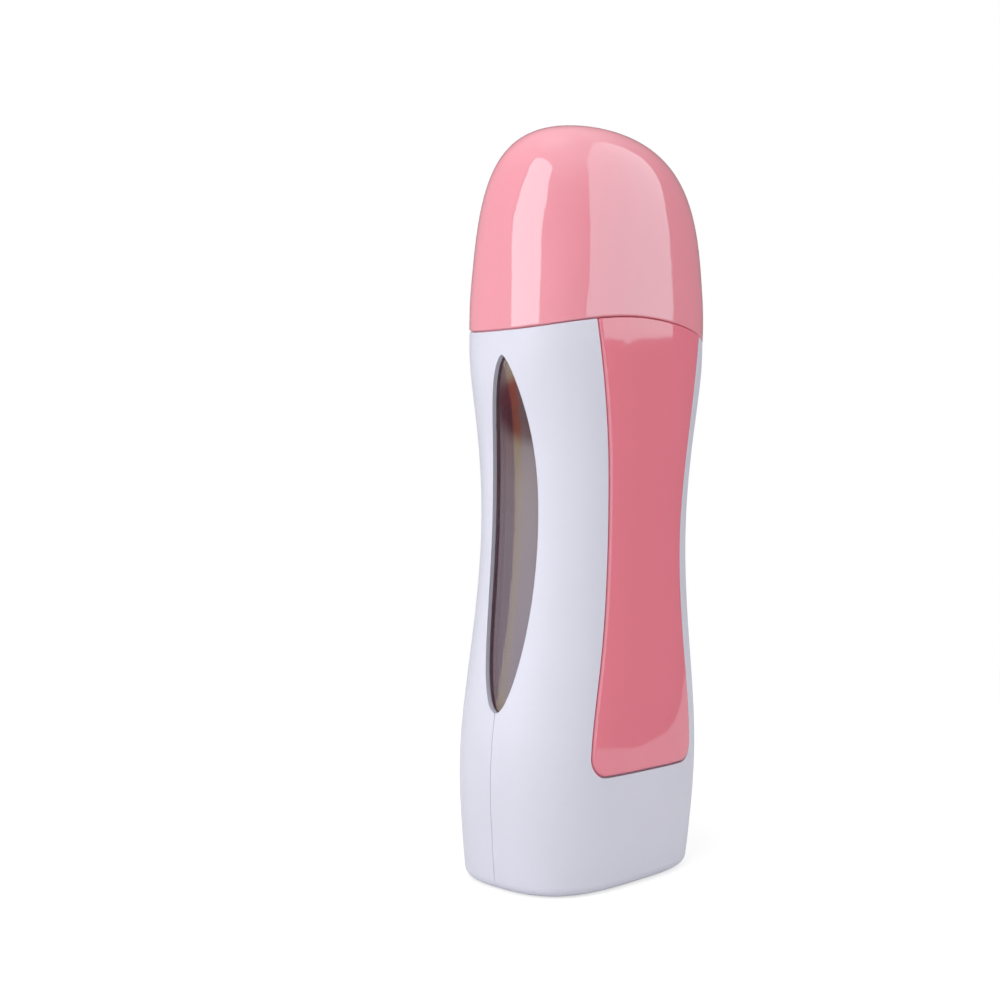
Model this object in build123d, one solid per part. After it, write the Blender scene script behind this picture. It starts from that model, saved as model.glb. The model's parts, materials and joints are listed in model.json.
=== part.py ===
from build123d import *
import os
from math import copysign, cos, pi, sin, sqrt

import numpy as np

# Roll-on wax heater: a waisted hand-held casing with a lift-off cap, a wax
# cartridge with a roller, and a heated chamber that the cartridge drops into.
# Millimetres. X is the wide way, Y the deep way, +Z up. The origin is on the
# standing plane, under the middle of the casing. Heights of the casing's own
# outline are taken from its base, which the feet lift off the standing plane.

# ------------------------------------------------------------ overall outline
TOTAL_HEIGHT = 209.4        # standing plane to top of cap
FOOT_PROUD = 0.3            # feet below the casing
BASE_WIDTH, BASE_DEPTH = 68.0, 44.8
HIP_WIDTH, HIP_DEPTH = 73.6, 47.9
WAIST_WIDTH, WAIST_DEPTH = 60.1, 45.5
SHOULDER_WIDTH, SHOULDER_DEPTH = 73.3, 47.9
HIP_Z = 34.0                # heights above the base of the casing
WAIST_Z = 96.0
SHOULDER_Z = 157.0
STATION_SHARES = (0.3, 0.48, 0.49, 0.77)      # stations between base, hip, waist and shoulder
WIDTH_SHARES = (0.45, 0.56, 0.373, 0.91)      # how much of the change in width each has
DEPTH_SHARES = (0.5, 0.42, 0.95, 1.05)
SECTION_POWERS = (3.3, 2.65)                  # superellipse powers of the casing's cross-sections
SECTION_POINTS = 28
TOP_POWERS = (2.0, 2.0)                       # the same at the very top of the cap
CROWN_WIDTH_POWERS = (5.1, 2.53)              # how the crown narrows over its rise
CROWN_DEPTH_POWERS = (2.53, 2.9)
CROWN_STATIONS = 13
CROWN_CROWDING = 3.0        # stations lie closer together towards the top
CROWN_THINNING = 4.0
BODY_STATIONS = 14
BASE_ROUND = 3.0            # rounding of the casing's bottom edge

# -------------------------------------------------------------------- casing
WALL = 2.0
FLOOR = 2.4
EDGE_Z = 154.2              # cap joint above the base, in the middle of a wide face
EDGE_DROP = 5.15            # how much lower the joint is at the narrow sides
CAP_GAP = 0.35
JOINT_ROUND = 0.3           # outer edge of the casing at the joint
LEDGE = 3.0                 # thickness of the ledge under the cap joint
SEAM_WIDTH = 0.14           # groove where the two shells meet, below the windows
SEAM_DEPTH = 0.35
NECK_WALL = 1.8
NECK_RISE = 10.0            # neck above the highest point of the joint
NECK_GAP = 0.4              # cap wall to neck at the narrow sides
NECK_DEPTH_GAP = 0.7        # cap wall to neck at the wide faces
TONGUE = (1.2, 6.0, 8.0)    # locating tongue: thick, long, high
TONGUE_FIT = 0.15
TONGUE_ROOT = 0.5

# ----------------------------------------------------- panels on both faces
PANEL_RECESS = 1.4
PANEL_BACK_WALL = 1.6       # casing wall behind the panel
PANEL_GAP = 0.35
PANEL_PROUD = 0.15
PANEL_SEAT = 0.05
PANEL_FOOT_Z = 31.0         # above the base
PANEL_WAIST_Z = 93.3
PANEL_FOOT_WIDTH = 44.2
PANEL_WAIST_WIDTH = 32.4
PANEL_TOP_WIDTH = 47.4
PANEL_LOW = (0.25, 0.17)    # share of the way up to the waist, share of the narrowing
PANEL_MIDDLE = (0.47, 0.53)
PANEL_UPPER = (0.42, 0.22)  # the same from the waist up to the shoulder
PANEL_RUN_ON = (8.0, 1.2)   # how the outline goes on above the shoulder: high, wider on each side
PANEL_CORNER = 5.6
PANEL_EDGE_ROUND = 1.0

# --------------------------------------------- windows in both narrow sides
WINDOW_WIDTH = 16.9
WINDOW_Z = 96.3             # above the base, where the window is widest
WINDOW_UP = 46.5            # from there to the tips
WINDOW_DOWN = 49.1
WINDOW_HEIGHT_POWER = 2.3
WINDOW_TOP_POWER = 1.6      # the lower this is, the sharper the tip
WINDOW_BOTTOM_POWER = 2.0
WINDOW_POINTS = 32
WINDOW_FIT = 0.12
PANE_THICK = 2.3
PANE_BEHIND = 0.1           # flange to the shell's inside
FLANGE_LAP = 1.5
FLANGE_INSIDE = 1.2
FLANGE_THICK = 1.0

# ----------------------------------------------------------------------- cap
CAP_WALL = 1.8
CAP_EDGE_ROUND = 0.4
CAP_RIB = (1.6, 20.0)       # locating rib: wide, high
CAP_RIB_X = 12.0
CAP_RIB_FIT = 0.3

# ---------------------------------------------------------------- inlet (C8)
INLET_Z = 20.0              # middle of the socket above the standing plane
INLET_FACE_X = 38.4
INLET_WALL = 2.2
SOCKET_WIDTH, SOCKET_HEIGHT = 17.4, 13.0
SOCKET_LENGTH = 18.0
SOCKET_INSET = 0.4
SOCKET_FIT = 0.15
SOCKET_ROUND = 2.0
LOBE_DIAMETER = 8.4
LOBE_PITCH = 7.0
RECESS_DEPTH = 10.0
PIN_DIAMETER = 2.4
PIN_PITCH = 8.6
PIN_SET_BACK = 1.2
PIN_SHANK_DIAMETER = 3.2    # thicker end, moulded into the socket

# ------------------------------------------------------------- cartridge
CHAMBER_FLOOR_Z = 46.4      # top of the tray that the cartridge stands on
CARTRIDGE_WIDTH, CARTRIDGE_DEPTH = 52.0, 32.0
CARTRIDGE_SEAT = 0.3
BOTTLE_BODY = 87.0
BOTTLE_SHOULDER = 6.0
BOTTLE_NECK = 10.0
BOTTLE_NECK_WIDTH, BOTTLE_NECK_DEPTH = 42.0, 24.0
BOTTLE_WALL = 1.2
BOTTLE_FOOT_ROUND = 2.5
WAX_FIT = 0.05
WAX_LEVEL = 78.0            # wax above the inside of the bottle's bottom
HEAD_WIDTH, HEAD_DEPTH = 50.0, 30.0
HEAD_FIT = 0.2
HEAD_TOP_DEPTH = 22.0
HEAD_STRAIGHT = 16.0
HEAD_HEIGHT = 30.0
ROLLER_DIAMETER = 18.0
ROLLER_LENGTH = 40.0
ROLLER_RAISE = 2.0          # the roller's axis above the head's rim
ROLLER_FIT = 0.35
ROLLER_ROUND = 0.8
JOURNAL_DIAMETER = 4.0
JOURNAL_LENGTH = 2.6
JOURNAL_END_PLAY = 0.3
EAR_INSET = 1.0             # lug's outer face from the head's end
EAR_WALL = 2.6              # round the journal
EAR_ROOT = 3.0              # into the head
CHANNEL = (30.0, 5.0)

# ------------------------------------------------ heated chamber and inside
GUIDE_FIT = 0.7             # cartridge to the chamber's guides
RING_DEPTH_FIT = 0.4        # cartridge to the ring at the wide faces
TRAY_THICK = 2.4
RING_THICK = 2.0
RING_BELOW_CEILING = 0.4
CRADLE_FIT = 0.3            # cradle to the shells
COLLAR_THICK = 1.6
COLLAR_WALL = 1.2
COLLAR_BELOW_NECK = 2.0     # collar's top under the neck's rim
COLLAR_FIT = 0.2
POST = 2.0
POST_AT = (23.2, 12.3)
PLATE_WIDTH = 36.0
PLATE_THICK = 1.0
PLATE_CLEAR = 0.4           # plate to the cartridge
PLATE_SLOT = 0.8            # plate end into tray and ring
HEATER_SIZE = (22.0, 1.6, 36.0)
HEATER_Z = 95.0
FILM_THICK = 0.3
THERMOSTAT_SIZE = (7.0, 2.5, 20.0)
THERMOSTAT_Z = 62.0
THERMOSTAT_ROUND = 0.6
FUSE_DIAMETER, FUSE_LENGTH = 2.4, 11.0
FUSE_LEAD = (0.7, 2.2)      # diameter, length at each end
FUSE_Z = 66.0
LAMP_DIAMETER = 5.0
LAMP_LENGTH = 3.0
LAMP_COLLAR = (0.4, 0.4)    # proud of the lamp, thick
LAMP_Z = 138.6
LAMP_BRACKET = (1.0, 7.0, 9.0)
LAMP_BRACKET_FIT = 0.2      # bracket behind the chamber's guides
LENS_SIZE = (0.8, 15.0, 14.0)     # thick, wide, high
LENS_BEHIND = 0.2           # lens to the pane's flange
LENS_TAB = (1.0, 6.0)       # tabs above and below the bracket: thick, wide
FOOT_DIAMETER = 7.0
FOOT_DEEP = 0.8             # foot let into the floor
FOOT_AT = (20.0, 11.0)
BOSS_DIAMETER = 7.0
BOSS_AT = (14.5, 39.4)      # x and height above the standing plane
SCREW_DIAMETER, SCREW_CORE, SCREW_HEAD = 2.9, 2.6, 5.4
SCREW_HEAD_HIGH = 1.8
SCREW_LENGTH = 20.0
SCREW_SLOT = 0.8
SCREW_SINK = 0.8            # head below the floor of the panel's recess
SCREW_FIT = 0.15
HOLE_END_ROOM = 0.8         # blind holes go on beyond the screw's tip
RIB_THICK = 1.6
RIB_X = 27.5
RIB_REACH = 11.5            # rib's free edge from the seam plane
BOARD_SIZE = (38.0, 1.6, 22.0)
BOARD_MIDDLE = (-4.0, 20.0)
BOARD_Y = 10.0
BOARD_POST_DIAMETER = 5.0
BOARD_POST_AT = ((-19.0, 13.0), (11.0, 27.0))
BOARD_SCREW = (2.0, 4.2, 1.4, 6.0)    # core, head, head height, length
BOARD_HOLE = 2.2
CAPACITOR_SIZE = (13.0, 6.0, 10.0)
CAPACITOR_AT = (-12.0, 24.0)
CAPACITOR_ROUND = 1.2
RESISTOR_DIAMETER, RESISTOR_LENGTH = 4.0, 12.0
RESISTOR_AT = (-8.0, 13.5)
RESISTOR_CHAMFER = 0.6
TERMINAL_SIZE = (8.0, 8.0, 12.0)
TERMINAL_AT = (4.0, 18.0)
TERMINAL_HOLE = (2.4, 4.0)  # diameter, depth
WIRE_DIAMETER = 1.4
WIRE_BEND = 2.5
INLET_WIRE_BEND = 1.8
LAMP_WIRE_DIAMETER = 1.0
LAMP_WIRE_BEND = 2.0
LAMP_WIRE_OUT = 4.0         # straight out of the lamp before it turns down
LAMP_WIRE_FALL = 8.0        # drop to the corner of the chamber
WIRE_TURN = 4.0             # heater wires turn this far below the tray
WIRE_END = 5.0              # last straight run to a solder pad
WIRE_HOLE_FIT = 0.4
HEATER_WIRE_X = 9.5
LAMP_WIRE_AT = (-24.9, 11.6)
HEATER_PADS = ((-3.0, 28.0), (3.0, 28.0))     # on the board, x and z
LAMP_PAD = (-21.0, 27.0)

# --------------------------------------------------------- worked-out values
BASE_Z = FOOT_PROUD
PIN_BACK_X = INLET_FACE_X - SOCKET_LENGTH - 3.0
REACH = 200.0               # longer than the object, for cutting tools
OVERCUT = 1.0               # cutting tools go on this far beyond what they cut
NECK_HALF = (SHOULDER_WIDTH / 2 - CAP_WALL - NECK_GAP, SHOULDER_DEPTH / 2 - CAP_WALL - NECK_DEPTH_GAP)
NECK_TOP_Z = BASE_Z + EDGE_Z + NECK_RISE
NECK_ROOT_Z = BASE_Z + EDGE_Z - EDGE_DROP - LEDGE
TRAY_BOTTOM_Z = CHAMBER_FLOOR_Z - TRAY_THICK
RING_TOP_Z = NECK_ROOT_Z - RING_BELOW_CEILING
RING_BOTTOM_Z = RING_TOP_Z - RING_THICK
PLATE_Y = CARTRIDGE_DEPTH / 2 + PLATE_CLEAR
CAVITY = (WALL, PANEL_RECESS + PANEL_BACK_WALL)
FLANGE_BACK = WALL + PANE_BEHIND + FLANGE_THICK
CARTRIDGE_Z = CHAMBER_FLOOR_Z + CARTRIDGE_SEAT
BOTTLE_TOP_Z = CARTRIDGE_Z + BOTTLE_BODY + BOTTLE_SHOULDER + BOTTLE_NECK
HEAD_Z = BOTTLE_TOP_Z - BOTTLE_NECK + HEAD_FIT
HEAD_TOP_Z = HEAD_Z + HEAD_HEIGHT
ROLLER_Z = HEAD_TOP_Z + ROLLER_RAISE
WALL_X = (CARTRIDGE_WIDTH + 2 * GUIDE_FIT) / 2
LAMP_FOOT_X = -WALL_X - LAMP_BRACKET_FIT - LAMP_BRACKET[0]


# ------------------------------------------------------------------ outline
def between(low, high, share):
    return low + (high - low) * share


def smooth_curve(points):
    """Cubic through (z, value) points with smooth curvature, level at its last point."""
    z = np.array([p[0] for p in points])
    v = np.array([p[1] for p in points])
    h = np.diff(z)
    slope = np.diff(v) / h
    n = len(z)
    system = np.zeros((n, n))
    right = np.zeros(n)
    system[0, 0] = 1.0
    for i in range(1, n - 1):
        system[i, i - 1 : i + 2] = h[i - 1], 2 * (h[i - 1] + h[i]), h[i]
        right[i] = 6 * (slope[i] - slope[i - 1])
    system[-1, -2:] = h[-1], 2 * h[-1]
    right[-1] = -6 * slope[-1]
    bend = np.linalg.solve(system, right)

    def value(height):
        i = int(min(max(np.searchsorted(z, height) - 1, 0), n - 2))
        low, high = (z[i + 1] - height) / h[i], (height - z[i]) / h[i]
        cubic = (low**3 - low) * bend[i] + (high**3 - high) * bend[i + 1]
        return float(low * v[i] + high * v[i + 1] + cubic * h[i] ** 2 / 6)

    return value


def outline_curve(base, hip, waist, shoulder, shares):
    """Width or depth of the casing over its height, with four stations between the named ones."""
    low, falling, rising, upper = shares
    low_at, falling_at, rising_at, upper_at = STATION_SHARES
    return smooth_curve([
        (0.0, base),
        (between(0.0, HIP_Z, low_at), between(base, hip, low)),
        (HIP_Z, hip),
        (between(HIP_Z, WAIST_Z, falling_at), between(hip, waist, falling)),
        (WAIST_Z, waist),
        (between(WAIST_Z, SHOULDER_Z, rising_at), between(waist, shoulder, rising)),
        (between(WAIST_Z, SHOULDER_Z, upper_at), between(waist, shoulder, upper)),
        (SHOULDER_Z, shoulder),
    ])


body_width = outline_curve(BASE_WIDTH, HIP_WIDTH, WAIST_WIDTH, SHOULDER_WIDTH, WIDTH_SHARES)
body_depth = outline_curve(BASE_DEPTH, HIP_DEPTH, WAIST_DEPTH, SHOULDER_DEPTH, DEPTH_SHARES)


def body_half(z):
    """Half width and half depth of the casing at a height above the standing plane."""
    height = min(z - BASE_Z, SHOULDER_Z)
    return body_width(height) / 2, body_depth(height) / 2


def section(half_width, half_depth, z, powers=SECTION_POWERS):
    """Closed superellipse outline at a height."""
    points = []
    for k in range(SECTION_POINTS):
        angle = 2 * pi * k / SECTION_POINTS
        c, s = cos(angle), sin(angle)
        x = half_width * copysign(abs(c) ** (2 / powers[0]), c)
        y = half_depth * copysign(abs(s) ** (2 / powers[1]), s)
        points.append((x, y, z))
    return Wire([Spline(*points, periodic=True)])


def skin(inset_x, inset_y, start_z=BASE_Z):
    """The casing's form, inset from the outside, from a height up to the shoulder."""
    spacing = SHOULDER_Z / (BODY_STATIONS - 1)
    stations = [BASE_Z + spacing * k for k in range(BODY_STATIONS)]
    wires = []
    for z in [start_z] + [z for z in stations if z > start_z + spacing / 3]:
        half_width, half_depth = body_half(z)
        wires.append(section(half_width - inset_x, half_depth - inset_y, z))
    return Part() + Solid.make_loft(wires)


def cap_form(inset):
    """The cap's form from below its joint to the crown, inset from the outside."""
    wires = []
    for k in range(3):
        z = between(NECK_ROOT_Z, BASE_Z + SHOULDER_Z, k / 3)
        half_width, half_depth = body_half(z)
        wires.append(section(half_width - inset, half_depth - inset, z))
    shares = [1 - (1 - k / CROWN_STATIONS) ** CROWN_CROWDING for k in range(CROWN_STATIONS)]
    rise = (TOTAL_HEIGHT - BASE_Z - SHOULDER_Z - inset) / shares[-1]
    return Part() + Solid.make_loft(wires + [crown_section(share, rise, inset) for share in shares])


def crown_section(share, rise, inset):
    """Outline of the cap's crown at a share of its rise, rounder towards the top."""
    width_p, width_q = CROWN_WIDTH_POWERS
    depth_p, depth_q = CROWN_DEPTH_POWERS
    half_width = SHOULDER_WIDTH / 2 * (1 - share**width_p) ** (1 / width_q)
    half_depth = SHOULDER_DEPTH / 2 * (1 - share**depth_p) ** (1 / depth_q)
    shrink = inset * (1 - share**CROWN_THINNING)
    powers = [between(low, top, share) for low, top in zip(SECTION_POWERS, TOP_POWERS)]
    return section(half_width - shrink, half_depth - shrink, BASE_Z + SHOULDER_Z + share * rise, powers)


def above_joint(raise_by):
    """Everything above the arched cap joint, moved up by raise_by."""
    half = SHOULDER_WIDTH / 2
    radius = (half**2 + EDGE_DROP**2) / (2 * EDGE_DROP)
    top = BASE_Z + EDGE_Z + raise_by
    side = SHOULDER_WIDTH
    side_z = top - radius + sqrt(radius**2 - side**2)
    roof = TOTAL_HEIGHT + OVERCUT
    arch = ThreePointArc((-side, side_z), (0, top), (side, side_z))
    rest = Polyline((side, side_z), (side, roof), (-side, roof), (-side, side_z))
    return extrude(Plane.XZ * make_face([arch, rest]), REACH, both=True)


def block(x, y, z):
    """Box from three (low, high) pairs."""
    size = [high - low for low, high in (x, y, z)]
    middle = [(high + low) / 2 for low, high in (x, y, z)]
    return Pos(*middle) * Box(*size)


def rod(diameter, start, end):
    """Round bar from one point to another."""
    line = Line(start, end)
    return extrude(Plane(origin=start, z_dir=line % 0) * Circle(diameter / 2), line.length)


def stadium(width, depth, low, high):
    return extrude(Pos(0, 0, low) * SlotOverall(width, depth), high - low)


def superellipse_prism(half_width, half_depth, low, high):
    return extrude(Face(section(half_width, half_depth, low)), high - low, dir=(0, 0, 1))


FRONT_SIDE = block((-REACH, REACH), (-REACH, 0), (-REACH, 2 * REACH))
REAR_SIDE = mirror(FRONT_SIDE, Plane.XZ)


# ----------------------------------------------------------- outlines of cuts
def panel_outline(shrink=0.0):
    """Waisted panel outline in X and Z, running on above the cap joint."""
    foot, waist = (PANEL_FOOT_Z, PANEL_FOOT_WIDTH), (PANEL_WAIST_Z, PANEL_WAIST_WIDTH)
    shoulder = (SHOULDER_Z, PANEL_TOP_WIDTH)

    def station(start, end, shares):
        return [between(low, high, share) for low, high, share in zip(start, end, shares)]

    stations = [
        (PANEL_FOOT_Z + shrink, PANEL_FOOT_WIDTH),
        station(foot, waist, PANEL_LOW),
        station(foot, waist, PANEL_MIDDLE),
        waist,
        station(waist, shoulder, PANEL_UPPER),
        shoulder,
        (SHOULDER_Z + PANEL_RUN_ON[0], PANEL_TOP_WIDTH + 2 * PANEL_RUN_ON[1]),
    ]
    right = [(width / 2 - shrink, BASE_Z + z) for z, width in stations]
    left = [(-x, z) for x, z in reversed(right)]
    outline = make_face([
        Spline(*right), Line(right[-1], left[0]), Spline(*left), Line(left[-1], right[0]),
    ])
    low = outline.vertices().sort_by(Axis.Y)[:2]
    return fillet(low, PANEL_CORNER - shrink)


def window_outline(grow=0.0):
    """Leaf-shaped outline in Y and Z with blunt tips."""
    points = []
    for k in range(WINDOW_POINTS):
        angle = 2 * pi * k / WINDOW_POINTS
        c, s = cos(angle), sin(angle)
        reach, power = (WINDOW_UP, WINDOW_TOP_POWER) if s > 0 else (WINDOW_DOWN, WINDOW_BOTTOM_POWER)
        y = (WINDOW_WIDTH / 2 + grow) * copysign(abs(c) ** (2 / power), c)
        z = (reach + grow) * copysign(abs(s) ** (2 / WINDOW_HEIGHT_POWER), s)
        points.append((y, BASE_Z + WINDOW_Z + z))
    return make_face(Spline(*points, periodic=True))


def side_prism(outline, side, start_x=CARTRIDGE_WIDTH / 4):
    """Outline in Y and Z pushed out through one narrow side."""
    return extrude(Plane.YZ.offset(side * start_x) * outline, side * REACH)


# ------------------------------------------------------------------- casing
outer = skin(0, 0)
recess_floor = skin(0, PANEL_RECESS)
panel_prism = extrude(Plane.XZ * panel_outline(), REACH, both=True)


def inlet_boss():
    """Sleeve that the inlet socket sits in, standing out of the +X side."""
    size = (SOCKET_WIDTH + 2 * INLET_WALL, SOCKET_HEIGHT + 2 * INLET_WALL)
    start = Plane.YZ.offset(INLET_FACE_X - SOCKET_LENGTH / 2)
    profile = Pos(0, INLET_Z) * RectangleRounded(*size, SOCKET_ROUND + INLET_WALL)
    sleeve = extrude(start * profile, SOCKET_LENGTH / 2)
    return fillet(sleeve.faces().sort_by(Axis.X)[-1].edges(), INLET_WALL / 3)


def inlet_hole():
    size = (SOCKET_WIDTH + 2 * SOCKET_FIT, SOCKET_HEIGHT + 2 * SOCKET_FIT)
    start = Plane.YZ.offset(INLET_FACE_X - SOCKET_LENGTH)
    outline = Pos(0, INLET_Z) * RectangleRounded(*size, SOCKET_ROUND)
    return extrude(start * outline, SOCKET_LENGTH + OVERCUT)


def bars_through(at, diameter):
    """Bars along Y through the whole casing, one each side of the middle."""
    x, z = at
    bars = [rod(diameter, (side * x, -REACH / 2, z), (side * x, REACH / 2, z)) for side in (-1, 1)]
    return bars[0] + bars[1]


def stiffening_ribs():
    """Upright ribs in the base that the cradle's tray stands on."""
    ribs = Part()
    for side in (-1, 1):
        for y in ((-REACH / 2, -RIB_REACH), (RIB_REACH, REACH / 2)):
            x = (side * RIB_X - RIB_THICK / 2, side * RIB_X + RIB_THICK / 2)
            ribs = ribs + block(x, y, (BASE_Z + FLOOR / 2, TRAY_BOTTOM_Z))
    return ribs


def casing():
    """What the two shells share, before it is parted at the seam."""
    rim = outer.faces().sort_by(Axis.Z)[0].edges()
    body = fillet(rim, BASE_ROUND) - above_joint(0)
    body = fillet(body.faces().sort_by(Axis.Z)[-1].edges(), JOINT_ROUND)
    body = body - (skin(*CAVITY, start_z=BASE_Z + FLOOR) - above_joint(-LEDGE))
    inside = (stiffening_ribs() + bars_through(BOSS_AT, BOSS_DIAMETER)) & recess_floor
    neck = superellipse_prism(*NECK_HALF, NECK_ROOT_Z, NECK_TOP_Z)
    bore_half = [half - NECK_WALL for half in NECK_HALF]
    bore = superellipse_prism(*bore_half, NECK_ROOT_Z - LEDGE, NECK_TOP_Z + OVERCUT)
    body = body + inside + inlet_boss() + neck - bore - inlet_hole()
    body = body - ((panel_prism & skin(-1, -1)) - recess_floor)
    for side in (-1, 1):
        body = body - side_prism(window_outline(), side)
    body = body - foot_discs(BASE_Z, BASE_Z + FOOT_DEEP)
    groove = block((-REACH, REACH), (-SEAM_WIDTH / 2, SEAM_WIDTH / 2), (-REACH, BASE_Z + WINDOW_Z))
    return body - (groove - skin(SEAM_DEPTH, SEAM_DEPTH, BASE_Z + SEAM_DEPTH))


def foot_discs(low, high):
    discs = Part()
    for x in (-FOOT_AT[0], FOOT_AT[0]):
        for y in (-FOOT_AT[1], FOOT_AT[1]):
            discs = discs + rod(FOOT_DIAMETER, (x, y, low), (x, y, high))
    return discs


def tongue(side):
    """Tongue inside the front shell's neck that laps over the rear shell."""
    thick, long, high = TONGUE
    inner = NECK_HALF[0] - NECK_WALL
    height = (NECK_ROOT_Z + thick, NECK_ROOT_Z + thick + high)
    lap_x = sorted_pair(side * (inner - TONGUE_FIT - thick), side * (inner - TONGUE_FIT))
    root_x = sorted_pair(side * (inner - TONGUE_ROOT), side * (inner + TONGUE_ROOT))
    return block(lap_x, (-long, long / 2), height) + block(root_x, (-long, -long / 3), height)


def sorted_pair(a, b):
    return (min(a, b), max(a, b))


def front_shell(body):
    shell = (body & FRONT_SIDE) + tongue(-1) + tongue(1)
    shell = shell - bars_through(BOSS_AT, SCREW_DIAMETER + 2 * SCREW_FIT)
    head_y, (x, z) = screw_head_y(), BOSS_AT
    for side in (-1, 1):
        shell = shell - rod(SCREW_HEAD + 2 * SCREW_FIT, (side * x, head_y, z), (side * x, -REACH / 4, z))
    return shell


def screw_head_y():
    """Where the screw heads seat, deep enough to lie under the front panel."""
    half_width, half_depth = body_half(BOSS_AT[1])
    x = BOSS_AT[0] + SCREW_HEAD / 2
    surface = half_depth * (1 - (x / half_width) ** SECTION_POWERS[0]) ** (1 / SECTION_POWERS[1])
    return -(surface - PANEL_RECESS - SCREW_HEAD_HIGH - SCREW_SINK)


def rear_shell(body):
    shell = body & REAR_SIDE
    for x, z in BOARD_POST_AT:
        post = rod(BOARD_POST_DIAMETER, (x, BOARD_Y + BOARD_SIZE[1], z), (x, REACH / 4, z)) & recess_floor
        shell = shell + post
        hole_end = BOARD_Y + BOARD_SCREW[3] - BOARD_SCREW[2] + HOLE_END_ROOM
        shell = shell - rod(BOARD_SCREW[0], (x, BOARD_Y, z), (x, hole_end, z))
    hole_end = screw_head_y() + SCREW_LENGTH + HOLE_END_ROOM
    for side in (-1, 1):
        x, z = side * BOSS_AT[0], BOSS_AT[1]
        shell = shell - rod(SCREW_CORE, (x, -OVERCUT, z), (x, hole_end, z))
    return shell


def front_panel():
    """Coloured panel that lies in the front shell's recess."""
    plate = extrude(Plane.XZ * panel_outline(PANEL_GAP), REACH)
    plate = plate & skin(-PANEL_PROUD, -PANEL_PROUD)
    plate = plate - skin(0, PANEL_RECESS - PANEL_SEAT)
    face = plate.faces().sort_by(SortBy.AREA)[-2:].sort_by(Axis.Y)[0]
    plate = fillet(face.edges(), PANEL_EDGE_ROUND) - above_joint(0)
    top = plate.faces().sort_by(Axis.Z)[-1]
    return fillet(top.edges().sort_by(Axis.Y)[0], JOINT_ROUND)


def left_window():
    """Smoked window: a plate flush with the casing, with a flange behind the opening."""
    plate = side_prism(window_outline(-WINDOW_FIT), -1) & outer
    plate = plate - skin(PANE_THICK, CAVITY[1])
    rim = side_prism(window_outline(FLANGE_LAP), -1) - side_prism(window_outline(-FLANGE_INSIDE), -1)
    rim = rim & skin(WALL + PANE_BEHIND, CAVITY[1])
    return plate + (rim - skin(FLANGE_BACK, CAVITY[1]))


# --------------------------------------------------------------------- cap
def cap():
    rib_top = NECK_TOP_Z + CAP_RIB[1] / 2
    neck_room = [half + CAP_RIB_FIT for half in NECK_HALF]
    room = superellipse_prism(*neck_room, NECK_ROOT_Z - OVERCUT, rib_top + OVERCUT)
    ribs = Part()
    for x in (-CAP_RIB_X, CAP_RIB_X):
        ribs = ribs + block((x - CAP_RIB[0] / 2, x + CAP_RIB[0] / 2), (-REACH, REACH), (NECK_ROOT_Z, rib_top))
    shell = cap_form(0) - cap_form(CAP_WALL) + ((ribs & cap_form(CAP_WALL / 2)) - room)
    below = block((-REACH, REACH), (-REACH, REACH), (0, TOTAL_HEIGHT)) - above_joint(CAP_GAP)
    shell = shell - below
    rim = max(shell.faces().sort_by(Axis.Z)[0].wires(), key=lambda wire: wire.length)
    return fillet(rim.edges(), CAP_EDGE_ROUND)


# ---------------------------------------------------------------- cartridge
def bottle_form(inset):
    low = CARTRIDGE_Z + inset
    body_top = CARTRIDGE_Z + BOTTLE_BODY
    shoulder_top = body_top + BOTTLE_SHOULDER
    width, depth = CARTRIDGE_WIDTH - 2 * inset, CARTRIDGE_DEPTH - 2 * inset
    neck = (BOTTLE_NECK_WIDTH - 2 * inset, BOTTLE_NECK_DEPTH - 2 * inset)
    body = stadium(width, depth, low, body_top)
    foot = body.faces().sort_by(Axis.Z)[0].edges()
    body = chamfer(foot, BOTTLE_FOOT_ROUND - inset)
    slope = loft([Pos(0, 0, body_top) * SlotOverall(width, depth),
                  Pos(0, 0, shoulder_top) * SlotOverall(*neck)], ruled=True)
    return body + slope + stadium(*neck, shoulder_top, BOTTLE_TOP_Z + inset)


def cartridge_bottle():
    return bottle_form(0) - bottle_form(BOTTLE_WALL)


def wax_fill():
    level = CARTRIDGE_Z + BOTTLE_WALL + WAX_LEVEL
    return bottle_form(BOTTLE_WALL + WAX_FIT) - block((-REACH, REACH), (-REACH, REACH), (level, REACH))


def roller_head():
    """Head that clips over the bottle's neck and holds the roller between its end walls."""
    low, top = HEAD_Z, HEAD_TOP_Z
    slope_z = low + HEAD_STRAIGHT
    side = Polyline((-HEAD_DEPTH / 2, low), (HEAD_DEPTH / 2, low), (HEAD_DEPTH / 2, slope_z),
                    (HEAD_TOP_DEPTH / 2, top), (-HEAD_TOP_DEPTH / 2, top), (-HEAD_DEPTH / 2, slope_z),
                    close=True)
    head = extrude(Plane.YZ * make_face(side), HEAD_WIDTH / 2, both=True)
    head = head & stadium(HEAD_WIDTH, HEAD_DEPTH, low, top)
    pocket = stadium(BOTTLE_NECK_WIDTH + 2 * HEAD_FIT, BOTTLE_NECK_DEPTH + 2 * HEAD_FIT, low,
                     BOTTLE_TOP_Z + HEAD_FIT)
    trough_half = ROLLER_LENGTH / 2 + ROLLER_FIT
    trough_radius = ROLLER_DIAMETER / 2 + ROLLER_FIT
    trough = rod(2 * trough_radius, (-trough_half, 0, ROLLER_Z), (trough_half, 0, ROLLER_Z))
    channel = block((-CHANNEL[0] / 2, CHANNEL[0] / 2), (-CHANNEL[1] / 2, CHANNEL[1] / 2), (low, ROLLER_Z))
    bearings = journals(JOURNAL_DIAMETER + 2 * ROLLER_FIT, JOURNAL_END_PLAY)
    return head + ear_plates() - pocket - trough - channel - bearings


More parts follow.
